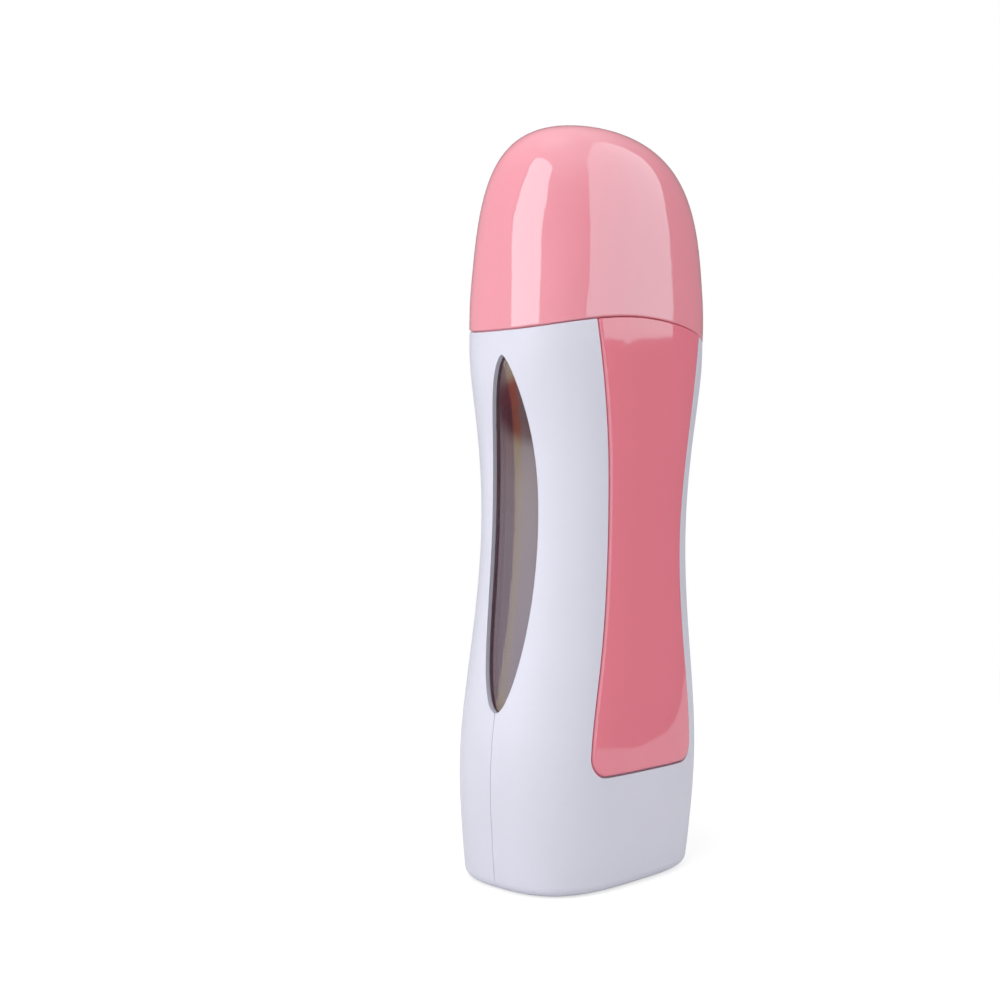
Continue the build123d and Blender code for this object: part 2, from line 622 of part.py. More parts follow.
def ear_plates():
    """Rounded lugs over the end walls that carry the roller's journals."""
    thick = (HEAD_WIDTH - ROLLER_LENGTH) / 2 - ROLLER_FIT - EAR_INSET
    radius = JOURNAL_DIAMETER / 2 + EAR_WALL
    inner = ROLLER_LENGTH / 2 + ROLLER_FIT
    lugs = []
    for side in (-1, 1):
        lug = rod(2 * radius, (side * inner, 0, ROLLER_Z), (side * (inner + thick), 0, ROLLER_Z))
        x = sorted_pair(side * inner, side * (inner + thick))
        lugs.append(lug + block(x, (-radius, radius), (HEAD_TOP_Z - EAR_ROOT, ROLLER_Z)))
    return lugs[0] + lugs[1]


def journals(diameter, extra):
    reach = ROLLER_LENGTH / 2 + JOURNAL_LENGTH + extra
    return rod(diameter, (-reach, 0, ROLLER_Z), (reach, 0, ROLLER_Z))


def wax_roller():
    half = ROLLER_LENGTH / 2
    drum = rod(ROLLER_DIAMETER, (-half, 0, ROLLER_Z), (half, 0, ROLLER_Z))
    drum = fillet(drum.edges().filter_by(GeomType.CIRCLE), ROLLER_ROUND)
    return drum + journals(JOURNAL_DIAMETER, 0)


# ------------------------------------------------------------ inside the casing
def cradle():
    """Tray, four posts and top ring of heat-proof plastic that hold the chamber together."""
    tray_half = [size - inset - CRADLE_FIT for size, inset in zip(body_half(CHAMBER_FLOOR_Z), CAVITY)]
    ring_half = [size - inset - CRADLE_FIT for size, inset in zip(body_half(RING_BOTTOM_Z), CAVITY)]
    tray = superellipse_prism(*tray_half, TRAY_BOTTOM_Z, CHAMBER_FLOOR_Z)
    ring = superellipse_prism(*ring_half, RING_BOTTOM_Z, RING_TOP_Z)
    opening = stadium(2 * WALL_X, CARTRIDGE_DEPTH + 2 * RING_DEPTH_FIT,
                      RING_BOTTOM_Z - OVERCUT, RING_TOP_Z + OVERCUT)
    frame = tray + (ring - opening)
    for x in (-POST_AT[0], POST_AT[0]):
        for y in (-POST_AT[1], POST_AT[1]):
            frame = frame + block((x - POST / 2, x + POST / 2), (y - POST / 2, y + POST / 2),
                                  (TRAY_BOTTOM_Z, RING_TOP_Z))
    flange_x = min(tray_half[0], ring_half[0]) + WALL - FLANGE_BACK
    for side in (-1, 1):
        frame = frame - plate_blank(side, PLATE_CLEAR / 2)
        frame = frame - side_prism(window_outline(FLANGE_LAP + CRADLE_FIT), side, flange_x)
    for x, y, diameter in wire_drops():
        hole = diameter + 2 * WIRE_HOLE_FIT
        frame = frame - rod(hole, (x, y, TRAY_BOTTOM_Z - OVERCUT), (x, y, CHAMBER_FLOOR_Z + OVERCUT))
    thick, wide, high = LAMP_BRACKET
    back_x = LAMP_FOOT_X + thick
    bracket = block((LAMP_FOOT_X, back_x), (-wide / 2, wide / 2), (RING_BOTTOM_Z - high, RING_TOP_Z))
    lamp_hole = rod(LAMP_DIAMETER / 2, (LAMP_FOOT_X - OVERCUT, 0, LAMP_Z), (back_x + OVERCUT, 0, LAMP_Z))
    return frame + (bracket - lamp_hole)


def chamber_collar():
    """Trim that closes the neck round the cartridge, with a sleeve standing on the cradle."""
    top = NECK_TOP_Z - COLLAR_BELOW_NECK
    half = [size - NECK_WALL - COLLAR_FIT for size in NECK_HALF]
    plate = superellipse_prism(*half, top - COLLAR_THICK, top)
    plate = chamfer(plate.faces().sort_by(Axis.Z)[-1].edges(), COLLAR_THICK / 4)
    width, depth = 2 * WALL_X, CARTRIDGE_DEPTH + 2 * GUIDE_FIT
    sleeve = stadium(width + 2 * COLLAR_WALL, depth + 2 * COLLAR_WALL, RING_TOP_Z, top)
    return plate + sleeve - stadium(width, depth, RING_TOP_Z - OVERCUT, top + OVERCUT)


def wire_drops():
    """Where the heater's and the lamp's wires pass down through the tray."""
    heater_y = PLATE_Y + PLATE_THICK + WIRE_DIAMETER / 2
    drops = [(x, y, WIRE_DIAMETER) for x in (-HEATER_WIRE_X, HEATER_WIRE_X) for y in (-heater_y, heater_y)]
    x, y = LAMP_WIRE_AT
    return drops + [(x, -y, LAMP_WIRE_DIAMETER), (x, y, LAMP_WIRE_DIAMETER)]


def plate_blank(side, grow=0.0):
    y = sorted_pair(side * (PLATE_Y - grow), side * (PLATE_Y + PLATE_THICK + grow))
    half = PLATE_WIDTH / 2 + grow
    return block((-half, half), y, (CHAMBER_FLOOR_Z - PLATE_SLOT - grow, RING_BOTTOM_Z + PLATE_SLOT + grow))


def on_plate(side, gap, size, x, z):
    """Flat block lying outside a heat plate, gap away from it."""
    near = PLATE_Y + PLATE_THICK + gap
    y = sorted_pair(side * near, side * (near + size[1]))
    return block((x - size[0] / 2, x + size[0] / 2), y, (z - size[2] / 2, z + size[2] / 2))


def heater(side):
    return on_plate(side, 0, HEATER_SIZE, 0, HEATER_Z)


def insulation(side):
    return on_plate(side, HEATER_SIZE[1], (HEATER_SIZE[0], FILM_THICK, HEATER_SIZE[2]), 0, HEATER_Z)


def thermostat():
    body = on_plate(-1, 0, THERMOSTAT_SIZE, 0, THERMOSTAT_Z)
    return fillet(body.edges().filter_by(Axis.Z), THERMOSTAT_ROUND)


def thermal_fuse():
    y = PLATE_Y + PLATE_THICK + FUSE_DIAMETER / 2
    half = FUSE_LENGTH / 2
    thin, long = FUSE_LEAD
    barrel = rod(FUSE_DIAMETER, (-half, y, FUSE_Z), (half, y, FUSE_Z))
    return barrel + rod(thin, (-half - long, y, FUSE_Z), (half + long, y, FUSE_Z))


def indicator_lamp():
    """Round red lamp on the cradle's bracket, looking out through the top of the -X window."""
    proud, thick = LAMP_COLLAR
    radius = LAMP_DIAMETER / 2
    dome_x = LAMP_FOOT_X - LAMP_LENGTH + radius
    collar_x = LAMP_FOOT_X - thick
    profile = make_face([
        Polyline((LAMP_FOOT_X, 0), (LAMP_FOOT_X, radius + proud), (collar_x, radius + proud),
                 (collar_x, radius), (dome_x, radius)),
        ThreePointArc((dome_x, radius), (dome_x - radius * sin(pi / 4), radius * sin(pi / 4)),
                      (dome_x - radius, 0)),
        Line((dome_x - radius, 0), (LAMP_FOOT_X, 0)),
    ])
    return Pos(0, 0, LAMP_Z) * revolve(profile, Axis.X)


def lamp_lens():
    """Red diffuser between the lamp and the -X window, hooked over the cradle's bracket."""
    thick, wide, high = LENS_SIZE
    tab_thick, tab_wide = LENS_TAB
    front, back = FLANGE_BACK + LENS_BEHIND, FLANGE_BACK + LENS_BEHIND + thick
    plate = block((-REACH, 0), (-wide / 2, wide / 2), (RING_BOTTOM_Z - high, RING_BOTTOM_Z))
    plate = (plate & skin(front, front)) - skin(back, back)
    bracket_z = RING_BOTTOM_Z - LAMP_BRACKET[2]
    across = (-tab_wide / 2, tab_wide / 2)
    upper = block((-REACH, LAMP_FOOT_X), across, (RING_BOTTOM_Z - tab_thick, RING_BOTTOM_Z))
    lower = block((-REACH, LAMP_FOOT_X + LAMP_BRACKET[0] / 2), across, (bracket_z - tab_thick, bracket_z))
    return plate + ((upper + lower) & skin(front, front))


def inlet_socket():
    start = Plane.YZ.offset(INLET_FACE_X - SOCKET_LENGTH)
    length = SOCKET_LENGTH - SOCKET_INSET
    body = extrude(start * Pos(0, INLET_Z) * RectangleRounded(SOCKET_WIDTH, SOCKET_HEIGHT, SOCKET_ROUND),
                   length)
    face_x = INLET_FACE_X - SOCKET_INSET
    recess = rod(LOBE_DIAMETER, (face_x - RECESS_DEPTH, LOBE_PITCH / 2, INLET_Z),
                 (face_x + OVERCUT, LOBE_PITCH / 2, INLET_Z))
    recess = recess + mirror(recess, Plane.XZ)
    return body - recess - inlet_pins()


def inlet_pins():
    y, z = PIN_PITCH / 2, INLET_Z
    root = INLET_FACE_X - SOCKET_INSET - RECESS_DEPTH
    tip = INLET_FACE_X - SOCKET_INSET - PIN_SET_BACK
    pin = rod(PIN_DIAMETER, (root, y, z), (tip, y, z))
    pin = chamfer(pin.edges().filter_by(GeomType.CIRCLE).sort_by(Axis.X)[-1], PIN_DIAMETER / 5)
    pin = pin + rod(PIN_SHANK_DIAMETER, (PIN_BACK_X, y, z), (root, y, z))
    return pin + mirror(pin, Plane.XZ)


def shell_screws():
    seat = screw_head_y()
    screws = []
    for side in (-1, 1):
        x, z = side * BOSS_AT[0], BOSS_AT[1]
        head = rod(SCREW_HEAD, (x, seat - SCREW_HEAD_HIGH, z), (x, seat, z))
        slot = block((x - SCREW_SLOT / 2, x + SCREW_SLOT / 2),
                     (seat - SCREW_HEAD_HIGH, seat - SCREW_HEAD_HIGH / 2), (z - SCREW_HEAD, z + SCREW_HEAD))
        shank = rod(SCREW_CORE, (x, seat, z), (x, seat + SCREW_LENGTH, z))
        screws.append(head - slot + shank)
    return screws[0] + screws[1]


def board_screws():
    core, head, high, length = BOARD_SCREW
    screws = []
    for x, z in BOARD_POST_AT:
        top = rod(head, (x, BOARD_Y - high, z), (x, BOARD_Y, z))
        screws.append(top + rod(core, (x, BOARD_Y, z), (x, BOARD_Y + length - high, z)))
    return screws[0] + screws[1]


def base_feet():
    pads = foot_discs(0, BASE_Z + FOOT_DEEP)
    return chamfer(pads.faces().filter_by(Axis.Z).group_by(Axis.Z)[0].edges(), FOOT_PROUD / 3)


def circuit_board():
    wide, thick, high = BOARD_SIZE
    x, z = BOARD_MIDDLE
    board = block((x - wide / 2, x + wide / 2), (BOARD_Y, BOARD_Y + thick), (z - high / 2, z + high / 2))
    for px, pz in BOARD_POST_AT:
        board = board - rod(BOARD_HOLE, (px, BOARD_Y - OVERCUT, pz), (px, BOARD_Y + thick + OVERCUT, pz))
    return board


def on_board(size, at):
    x, z = at
    return block((x - size[0] / 2, x + size[0] / 2), (BOARD_Y - size[1], BOARD_Y),
                 (z - size[2] / 2, z + size[2] / 2))


def capacitor():
    body = on_board(CAPACITOR_SIZE, CAPACITOR_AT)
    return fillet(body.edges().filter_by(Axis.Z), CAPACITOR_ROUND)


def dropper_resistor():
    x, z = RESISTOR_AT
    y = BOARD_Y - RESISTOR_DIAMETER / 2
    half = RESISTOR_LENGTH / 2
    body = rod(RESISTOR_DIAMETER, (x - half, y, z), (x + half, y, z))
    return chamfer(body.edges().filter_by(GeomType.CIRCLE), RESISTOR_CHAMFER)


def terminal_block():
    body = on_board(TERMINAL_SIZE, TERMINAL_AT)
    wide, deep = TERMINAL_HOLE
    x = TERMINAL_AT[0] + TERMINAL_SIZE[0] / 2
    y = BOARD_Y - TERMINAL_SIZE[1] / 2
    for z in (TERMINAL_AT[1] - TERMINAL_SIZE[2] / 4, TERMINAL_AT[1] + TERMINAL_SIZE[2] / 4):
        body = body - rod(wide, (x - deep, y, z), (x + OVERCUT, y, z))
    return body


def wire(diameter, bend, *points):
    """Insulated wire along straight runs with rounded corners."""
    path = FilletPolyline(*points, radius=bend)
    return sweep(Plane(origin=path @ 0, z_dir=path % 0) * Circle(diameter / 2), path=path)


def inlet_wires():
    """Two short wires from the inlet pins to the terminal block."""
    entry_x = TERMINAL_AT[0] + TERMINAL_SIZE[0] / 2
    wires = Part()
    for side in (-1, 1):
        y, z = side * PIN_PITCH / 2, TERMINAL_AT[1] + side * TERMINAL_SIZE[2] / 4
        block_y = BOARD_Y - TERMINAL_SIZE[1] / 2
        wires = wires + wire(WIRE_DIAMETER, INLET_WIRE_BEND, (PIN_BACK_X, y, INLET_Z),
                             (PIN_BACK_X - 2.2, y, INLET_Z), (entry_x + 2.5, block_y, z),
                             (entry_x - TERMINAL_HOLE[1] + 0.5, block_y, z))
    return wires


def heater_wires():
    """Two wires from each heater down to the circuit board."""
    top_z = HEATER_Z - HEATER_SIZE[2] / 2
    y = PLATE_Y + PLATE_THICK + WIRE_DIAMETER / 2
    turn_z = TRAY_BOTTOM_Z - WIRE_TURN
    back_y = BOARD_Y + BOARD_SIZE[1]
    wires = Part()
    for x, (pad_x, pad_z) in zip((-HEATER_WIRE_X, HEATER_WIRE_X), HEATER_PADS):
        wires = wires + wire(WIRE_DIAMETER, WIRE_BEND, (x, -y, top_z), (x, -y, turn_z),
                             (pad_x, BOARD_Y - WIRE_END, pad_z), (pad_x, BOARD_Y, pad_z))
        wires = wires + wire(WIRE_DIAMETER, WIRE_BEND, (x, y, top_z), (x, y, turn_z),
                             (pad_x, y, pad_z), (pad_x, back_y, pad_z))
    return wires


def lamp_wires():
    """Two wires from the lamp, down beside the chamber's posts, to the circuit board."""
    lamp_x = LAMP_FOOT_X - LAMP_WIRE_DIAMETER
    x, y = LAMP_WIRE_AT
    corner_z, turn_z = LAMP_Z - LAMP_WIRE_FALL, TRAY_BOTTOM_Z - WIRE_END
    near = LAMP_DIAMETER / 2
    pad_x, pad_z = LAMP_PAD
    back_y = BOARD_Y + BOARD_SIZE[1]
    front = wire(LAMP_WIRE_DIAMETER, LAMP_WIRE_BEND, (lamp_x, -near, LAMP_Z),
                 (lamp_x, -near - LAMP_WIRE_OUT, LAMP_Z), (x, -y, corner_z), (x, -y, turn_z),
                 (pad_x, BOARD_Y - WIRE_END, pad_z), (pad_x, BOARD_Y, pad_z))
    rear = wire(LAMP_WIRE_DIAMETER, LAMP_WIRE_BEND, (lamp_x, near, LAMP_Z),
                (lamp_x, near + LAMP_WIRE_OUT, LAMP_Z), (x, y, corner_z), (x, y, turn_z),
                (pad_x, back_y + WIRE_END, pad_z), (pad_x, back_y, pad_z))
    return front + rear


nodes = {}
shells = casing()
nodes["front_shell"] = front_shell(shells)
nodes["rear_shell"] = rear_shell(shells)
nodes["front_panel"] = front_panel()
nodes["rear_panel"] = mirror(nodes["front_panel"], Plane.XZ)
nodes["cap"] = cap()
nodes["window_left"] = left_window()
nodes["window_right"] = mirror(nodes["window_left"], Plane.YZ)
nodes["inlet_socket"] = inlet_socket()
nodes["inlet_pins"] = inlet_pins()
nodes["shell_screws"] = shell_screws()
nodes["base_feet"] = base_feet()
nodes["cradle"] = cradle()
nodes["chamber_collar"] = chamber_collar()
for name, side in (("front", -1), ("rear", 1)):
    nodes[f"heat_plate_{name}"] = plate_blank(side)
    nodes[f"heater_{name}"] = heater(side)
    nodes[f"insulation_{name}"] = insulation(side)
nodes["thermostat"] = thermostat()
nodes["thermal_fuse"] = thermal_fuse()
nodes["indicator_lamp"] = indicator_lamp()
nodes["lamp_lens"] = lamp_lens()
nodes["circuit_board"] = circuit_board()
nodes["board_screws"] = board_screws()
nodes["suppression_capacitor"] = capacitor()
nodes["dropper_resistor"] = dropper_resistor()
nodes["terminal_block"] = terminal_block()
nodes["cartridge_bottle"] = cartridge_bottle()
nodes["wax_fill"] = wax_fill()
nodes["roller_head"] = roller_head()
nodes["wax_roller"] = wax_roller()
nodes["inlet_wires"] = inlet_wires()
nodes["heater_wires"] = heater_wires()
nodes["lamp_wires"] = lamp_wires()

os.makedirs("parts", exist_ok=True)
for name, node in nodes.items():
    export_step(node, f"parts/{name}.step")
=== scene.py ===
"""Roll-on wax heater: finishes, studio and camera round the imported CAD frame. Metres."""

import json
from math import cos, radians, sin

import bpy
from mathutils import Matrix, Vector
from mathutils.kdtree import KDTree


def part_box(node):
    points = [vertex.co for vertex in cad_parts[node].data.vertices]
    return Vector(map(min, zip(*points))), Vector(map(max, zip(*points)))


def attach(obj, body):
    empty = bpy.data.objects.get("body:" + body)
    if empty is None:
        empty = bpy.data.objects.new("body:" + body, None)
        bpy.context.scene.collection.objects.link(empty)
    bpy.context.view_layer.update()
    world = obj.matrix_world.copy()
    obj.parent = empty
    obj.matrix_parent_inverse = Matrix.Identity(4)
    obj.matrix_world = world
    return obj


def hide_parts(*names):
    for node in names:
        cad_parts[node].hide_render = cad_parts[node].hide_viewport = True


# ------------------------------------------------------------------- camera
CAMERA_BEARING = radians(50.10)      # from -Y towards -X
CAMERA_REACH = 0.38497               # from the object's axis
CAMERA_HEIGHT = 0.10474
CAMERA_YAW = radians(-3.63)
CAMERA_PITCH = radians(-0.05)
CAMERA_ROLL = radians(1.22)
CAMERA_LENS, CAMERA_SENSOR = 48.44, 36.0     # millimetres
CAMERA_CLIP = (0.01, 50)

# ------------------------------------------------------------------- studio
# Bearings are in degrees round the object, 0 at -Y, -90 at -X and 90 at +X.
WHITE = (1.0, 1.0, 1.0)
BACKDROP_LEVEL = 1.0                 # the white behind the object
ROOM_LEVEL = 0.35                    # what the room itself gives
FLOOR_SIZE = 6.0
FLOOR_WHITE = 0.80                   # the floor's own colour, as other surfaces see it
FLOOR_SHADED = 0.45                  # what the camera sees of it: a part that takes shadows
FLOOR_GLOW = 0.66                    # and a part that doesn't
FLOOR_FADE = (0.25, 0.6)             # distances from the object between which the floor turns plain white
TABLE_EDGE = (                       # the white table ends here, and the floor beyond isn't mirrored
    (-3.0, -0.29), (0.05, -0.29), (0.15, -0.172), (0.165, -0.158), (0.2, -0.164), (3.0, -0.164),
)
MIDDLE_HEIGHT = 0.15                 # elevations are taken from here
CARD_REACH = 1.1
SURROUND_RADIUS = 1.3
SURROUND_STEPS = 72
SURROUND_HEIGHTS = (-0.4, 0.9, 2.2)  # it starts below the floor, whose far part isn't mirrored
SURROUND_LEVELS = (                  # bearing and glow of the cloth round the set, up to its middle height
    (-185, 0.55), (-150, 0.68), (-126, 0.77), (-84, 0.67), (-60, 0.56), (-30, 0.44), (0, 0.30), (30, 0.30),
    (57, 0.23), (75, 0.22), (95, 0.24), (125, 0.23), (150, 0.22), (175, 0.55),
)
FRONT_LEVEL = 1.68
FRONT_CORNERS = (                    # bearing and elevation
    (-2, 7), (2, 16), (3, 24), (8, 38), (20, 55), (45, 61), (65, 62), (75, 58), (80, 50), (80, 41), (72, 33),
    (62, 24), (57, 15), (55, 7), (40, 6.6), (20, 6.6),
)
STRIP_LEVEL = 3.14
STRIP_CORNERS = (
    (-125, 4), (-125, 9), (-122, 15), (-112, 24), (-101, 40), (-91, 61), (-60, 61), (-44, 53), (-60, 31),
    (-73, 20), (-82, 13), (-84, 4),
)
TOP_LEVEL = 1.6                      # in its middle; its edge is like the backdrop
TOP_ELEVATION = 68
TOP_CORNERS = tuple((bearing, TOP_ELEVATION) for bearing in range(0, 360, 30))
LOW_REACH = 0.45                     # four cards stand on the table and are seen only as reflections
LOW_HEIGHTS = (0.001, 0.03, 0.046, 0.085, 0.135)
LOW_CARDS = (                        # name, bearings, and glow at each height
    ("dim", (-165, -131.8),
     ((0.3, 0.1, 0.1), (0.3, 0.1, 0.1), (1.8, 1.6, 1.6), (2.2, 2.1, 2.3), (2.3, 2.3, 2.8))),
    ("brown", (-131.8, -127.6),
     ((2.0, 0.6, 0.2), (2.0, 0.6, 0.2), (3.3, 3.0, 2.0), (4.1, 3.9, 3.4), (4.2, 4.1, 3.9))),
    ("side", (-95, -5),
     ((1.3, 1.3, 1.3),) * len(LOW_HEIGHTS)),
    ("bright", (-127.6, -100),
     ((1.1, 0.9, 0.9), (1.2, 1.1, 1.1), (3.1, 3.1, 3.3), (3.8, 3.8, 4.0), (3.8, 3.9, 4.7))),
)


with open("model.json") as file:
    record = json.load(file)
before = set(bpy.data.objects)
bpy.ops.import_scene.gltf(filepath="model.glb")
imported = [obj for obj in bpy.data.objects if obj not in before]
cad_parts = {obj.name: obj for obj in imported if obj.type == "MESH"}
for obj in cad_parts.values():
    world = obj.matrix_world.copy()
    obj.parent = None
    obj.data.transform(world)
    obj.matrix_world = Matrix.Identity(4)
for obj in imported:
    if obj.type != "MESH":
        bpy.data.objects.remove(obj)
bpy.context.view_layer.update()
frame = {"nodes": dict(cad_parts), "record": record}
nodes = frame["nodes"]
scene = bpy.context.scene


# --------------------------------------------------------------- small tools
def new_material(name):
    material = bpy.data.materials.new(name)
    material.use_nodes = True
    material.node_tree.nodes.clear()
    return material, material.node_tree


def add(tree, kind, **values):
    """Shader node with its properties or input sockets set by name."""
    node = tree.nodes.new(kind)
    for name, value in values.items():
        if hasattr(node, name):
            setattr(node, name, value)
        else:
            node.inputs[name.replace("_", " ")].default_value = value
    return node


def rgba(colour, level=1.0):
    return (colour[0] * level, colour[1] * level, colour[2] * level, 1.0)


def new_mesh(name, points, faces):
    mesh = bpy.data.meshes.new(name)
    mesh.from_pydata(points, [], faces)
    obj = bpy.data.objects.new(name, mesh)
    scene.collection.objects.link(obj)
    return obj


# ------------------------------------------------------------------- camera
def make_camera():
    data = bpy.data.cameras.new("camera")
    data.lens, data.sensor_width = CAMERA_LENS, CAMERA_SENSOR
    data.clip_start, data.clip_end = CAMERA_CLIP
    camera = bpy.data.objects.new("camera", data)
    scene.collection.objects.link(camera)
    turn = CAMERA_BEARING + CAMERA_YAW
    ahead = Vector((sin(turn) * cos(CAMERA_PITCH), cos(turn) * cos(CAMERA_PITCH), sin(CAMERA_PITCH)))
    side = Vector((cos(turn), -sin(turn), 0))
    up = side.cross(ahead)
    right = cos(CAMERA_ROLL) * side + sin(CAMERA_ROLL) * up
    top = cos(CAMERA_ROLL) * up - sin(CAMERA_ROLL) * side
    place = Vector((-sin(CAMERA_BEARING) * CAMERA_REACH, -cos(CAMERA_BEARING) * CAMERA_REACH, CAMERA_HEIGHT))
    camera.matrix_world = Matrix.Translation(place) @ Matrix((right, top, -ahead)).transposed().to_4x4()
    scene.camera = camera


# ------------------------------------------------------------------- studio
def heading(bearing, elevation):
    """Point on the sphere of cards round the object."""
    turn, rise = radians(bearing), radians(elevation)
    return (CARD_REACH * sin(turn) * cos(rise), -CARD_REACH * cos(turn) * cos(rise),
            MIDDLE_HEIGHT + CARD_REACH * sin(rise))


def glowing(name, piece, glows):
    """Material that glows by the colour given for each point of the piece."""
    glow = piece.data.color_attributes.new("glow", "FLOAT_COLOR", "POINT")
    for point, colour in zip(glow.data, glows):
        point.color = rgba(colour)
    material, tree = new_material(name + "_glow")
    shade = add(tree, "ShaderNodeVertexColor", layer_name="glow")
    emission = add(tree, "ShaderNodeEmission", Strength=1.0)
    output = add(tree, "ShaderNodeOutputMaterial")
    tree.links.new(shade.outputs["Color"], emission.inputs["Color"])
    tree.links.new(emission.outputs[0], output.inputs["Surface"])
    return material


def card(name, corners, level, edge_level=None):
    """Glowing card with corners given by bearing and elevation; level is what a mirror shows of it."""
    points = [heading(*corner) for corner in corners]
    middle = sum((Vector(point) for point in points), Vector()) / len(points)
    faces = [(k, (k + 1) % len(points), len(points)) for k in range(len(points))]
    piece = new_mesh(name, points + [tuple(middle)], faces)
    levels = [edge_level or level] * len(points) + [level]
    piece.data.materials.append(glowing(name, piece, [rgba(WHITE, glow) for glow in levels]))
    piece.visible_camera = piece.visible_shadow = False


def low_card(name, bearings, glows):
    """Upright card on the table that lights nothing and is seen only as a reflection."""
    feet = [(LOW_REACH * sin(radians(bearing)), -LOW_REACH * cos(radians(bearing))) for bearing in bearings]
    points = [(x, y, z) for z in LOW_HEIGHTS for x, y in feet]
    faces = [(k, k + 1, k + 3, k + 2) for k in range(0, len(points) - 2, 2)]
    piece = new_mesh("low_card_" + name, points, faces)
    colours = [glow for glow in glows for _ in bearings]
    piece.data.materials.append(glowing("low_card_" + name, piece, colours))
    piece.visible_camera = piece.visible_shadow = piece.visible_diffuse = False


def make_cards():
    card("softbox_front", FRONT_CORNERS, FRONT_LEVEL)
    card("softbox_strip", STRIP_CORNERS, STRIP_LEVEL)
    card("softbox_top", TOP_CORNERS, TOP_LEVEL, edge_level=BACKDROP_LEVEL)
    for facts in LOW_CARDS:
        low_card(*facts)


def surround_level(bearing):
    for (low, start), (high, end) in zip(SURROUND_LEVELS, SURROUND_LEVELS[1:]):
        if bearing <= high:
            return start + (end - start) * (bearing - low) / (high - low)
    return SURROUND_LEVELS[-1][1]


def make_surround():
    """Glowing cloth round the set, brighter in some directions than others, and like the backdrop on top."""
    first = SURROUND_LEVELS[0][0]
    rows = len(SURROUND_HEIGHTS)
    points = []
    levels = []
    for k in range(SURROUND_STEPS):
        bearing = first + 360 * k / SURROUND_STEPS
        angle = radians(bearing)
        points += [(SURROUND_RADIUS * sin(angle), -SURROUND_RADIUS * cos(angle), z) for z in SURROUND_HEIGHTS]
        levels += [surround_level(bearing)] * (rows - 1) + [BACKDROP_LEVEL]
    faces = []
    for k in range(SURROUND_STEPS):
        here, there = rows * k, rows * ((k + 1) % SURROUND_STEPS)
        faces += [(here + row, here + row + 1, there + row + 1, there + row) for row in range(rows - 1)]
    wall = new_mesh("surround", points, faces)
    wall.data.materials.append(glowing("surround", wall, [rgba(WHITE, level) for level in levels]))
    wall.visible_camera = wall.visible_shadow = wall.visible_transmission = False


def floor_material():
    """White floor that keeps a soft shadow near the object and is as white as the backdrop further off."""
    material, tree = new_material("floor_white")
    path = add(tree, "ShaderNodeLightPath")
    place = add(tree, "ShaderNodeTexCoord")
    reach = add(tree, "ShaderNodeVectorMath", operation="LENGTH")
    away = add(tree, "ShaderNodeMapRange", interpolation_type="SMOOTHSTEP")
    away.inputs["From Min"].default_value, away.inputs["From Max"].default_value = FLOOR_FADE
    plain = add(tree, "ShaderNodeBsdfDiffuse", Color=rgba(WHITE, FLOOR_WHITE))
    seen = add(tree, "ShaderNodeBsdfDiffuse", Color=rgba(WHITE, FLOOR_SHADED))
    glow = add(tree, "ShaderNodeEmission", Color=rgba(WHITE), Strength=FLOOR_GLOW)
    far = add(tree, "ShaderNodeEmission", Color=rgba(WHITE), Strength=BACKDROP_LEVEL)
    near = add(tree, "ShaderNodeAddShader")
    view = add(tree, "ShaderNodeMixShader")
    mix = add(tree, "ShaderNodeMixShader")
    output = add(tree, "ShaderNodeOutputMaterial")
    tree.links.new(place.outputs["Object"], reach.inputs[0])
    tree.links.new(reach.outputs["Value"], away.inputs["Value"])
    tree.links.new(seen.outputs[0], near.inputs[0])
    tree.links.new(glow.outputs[0], near.inputs[1])
    tree.links.new(away.outputs["Result"], view.inputs[0])
    tree.links.new(near.outputs[0], view.inputs[1])
    tree.links.new(far.outputs[0], view.inputs[2])
    tree.links.new(path.outputs["Is Camera Ray"], mix.inputs[0])
    tree.links.new(plain.outputs[0], mix.inputs[1])
    tree.links.new(view.outputs[0], mix.inputs[2])
    tree.links.new(mix.outputs[0], output.inputs["Surface"])
    return material


def make_floor():
    half = FLOOR_SIZE / 2
    material = floor_material()
    edge = [(x, y, 0) for x, y in TABLE_EDGE]
    for name, far in (("table", half), ("floor", -half)):
        points = edge + [(half, far, 0), (-half, far, 0)]
        piece = new_mesh(name, points, [tuple(range(len(points)))])
        piece.data.materials.append(material)
        piece.visible_glossy = name == "table"


def make_world():
    world = bpy.data.worlds.new("studio")
    scene.world = world
    world.use_nodes = True
    tree = world.node_tree
    tree.nodes.clear()
    path = add(tree, "ShaderNodeLightPath")
    mirrored = add(tree, "ShaderNodeMath", operation="MAXIMUM")
    white = add(tree, "ShaderNodeMath", operation="MAXIMUM")
    room = add(tree, "ShaderNodeBackground", Color=rgba(WHITE), Strength=ROOM_LEVEL)
    backdrop = add(tree, "ShaderNodeBackground", Color=rgba(WHITE), Strength=BACKDROP_LEVEL)
    mix = add(tree, "ShaderNodeMixShader")
    output = add(tree, "ShaderNodeOutputWorld")
    tree.links.new(path.outputs["Is Glossy Ray"], mirrored.inputs[0])
    tree.links.new(path.outputs["Is Transmission Ray"], mirrored.inputs[1])
    tree.links.new(path.outputs["Is Camera Ray"], white.inputs[0])
    tree.links.new(mirrored.outputs[0], white.inputs[1])
    tree.links.new(white.outputs[0], mix.inputs[0])
    tree.links.new(room.outputs[0], mix.inputs[1])
    tree.links.new(backdrop.outputs[0], mix.inputs[2])
    tree.links.new(mix.outputs[0], output.inputs["Surface"])


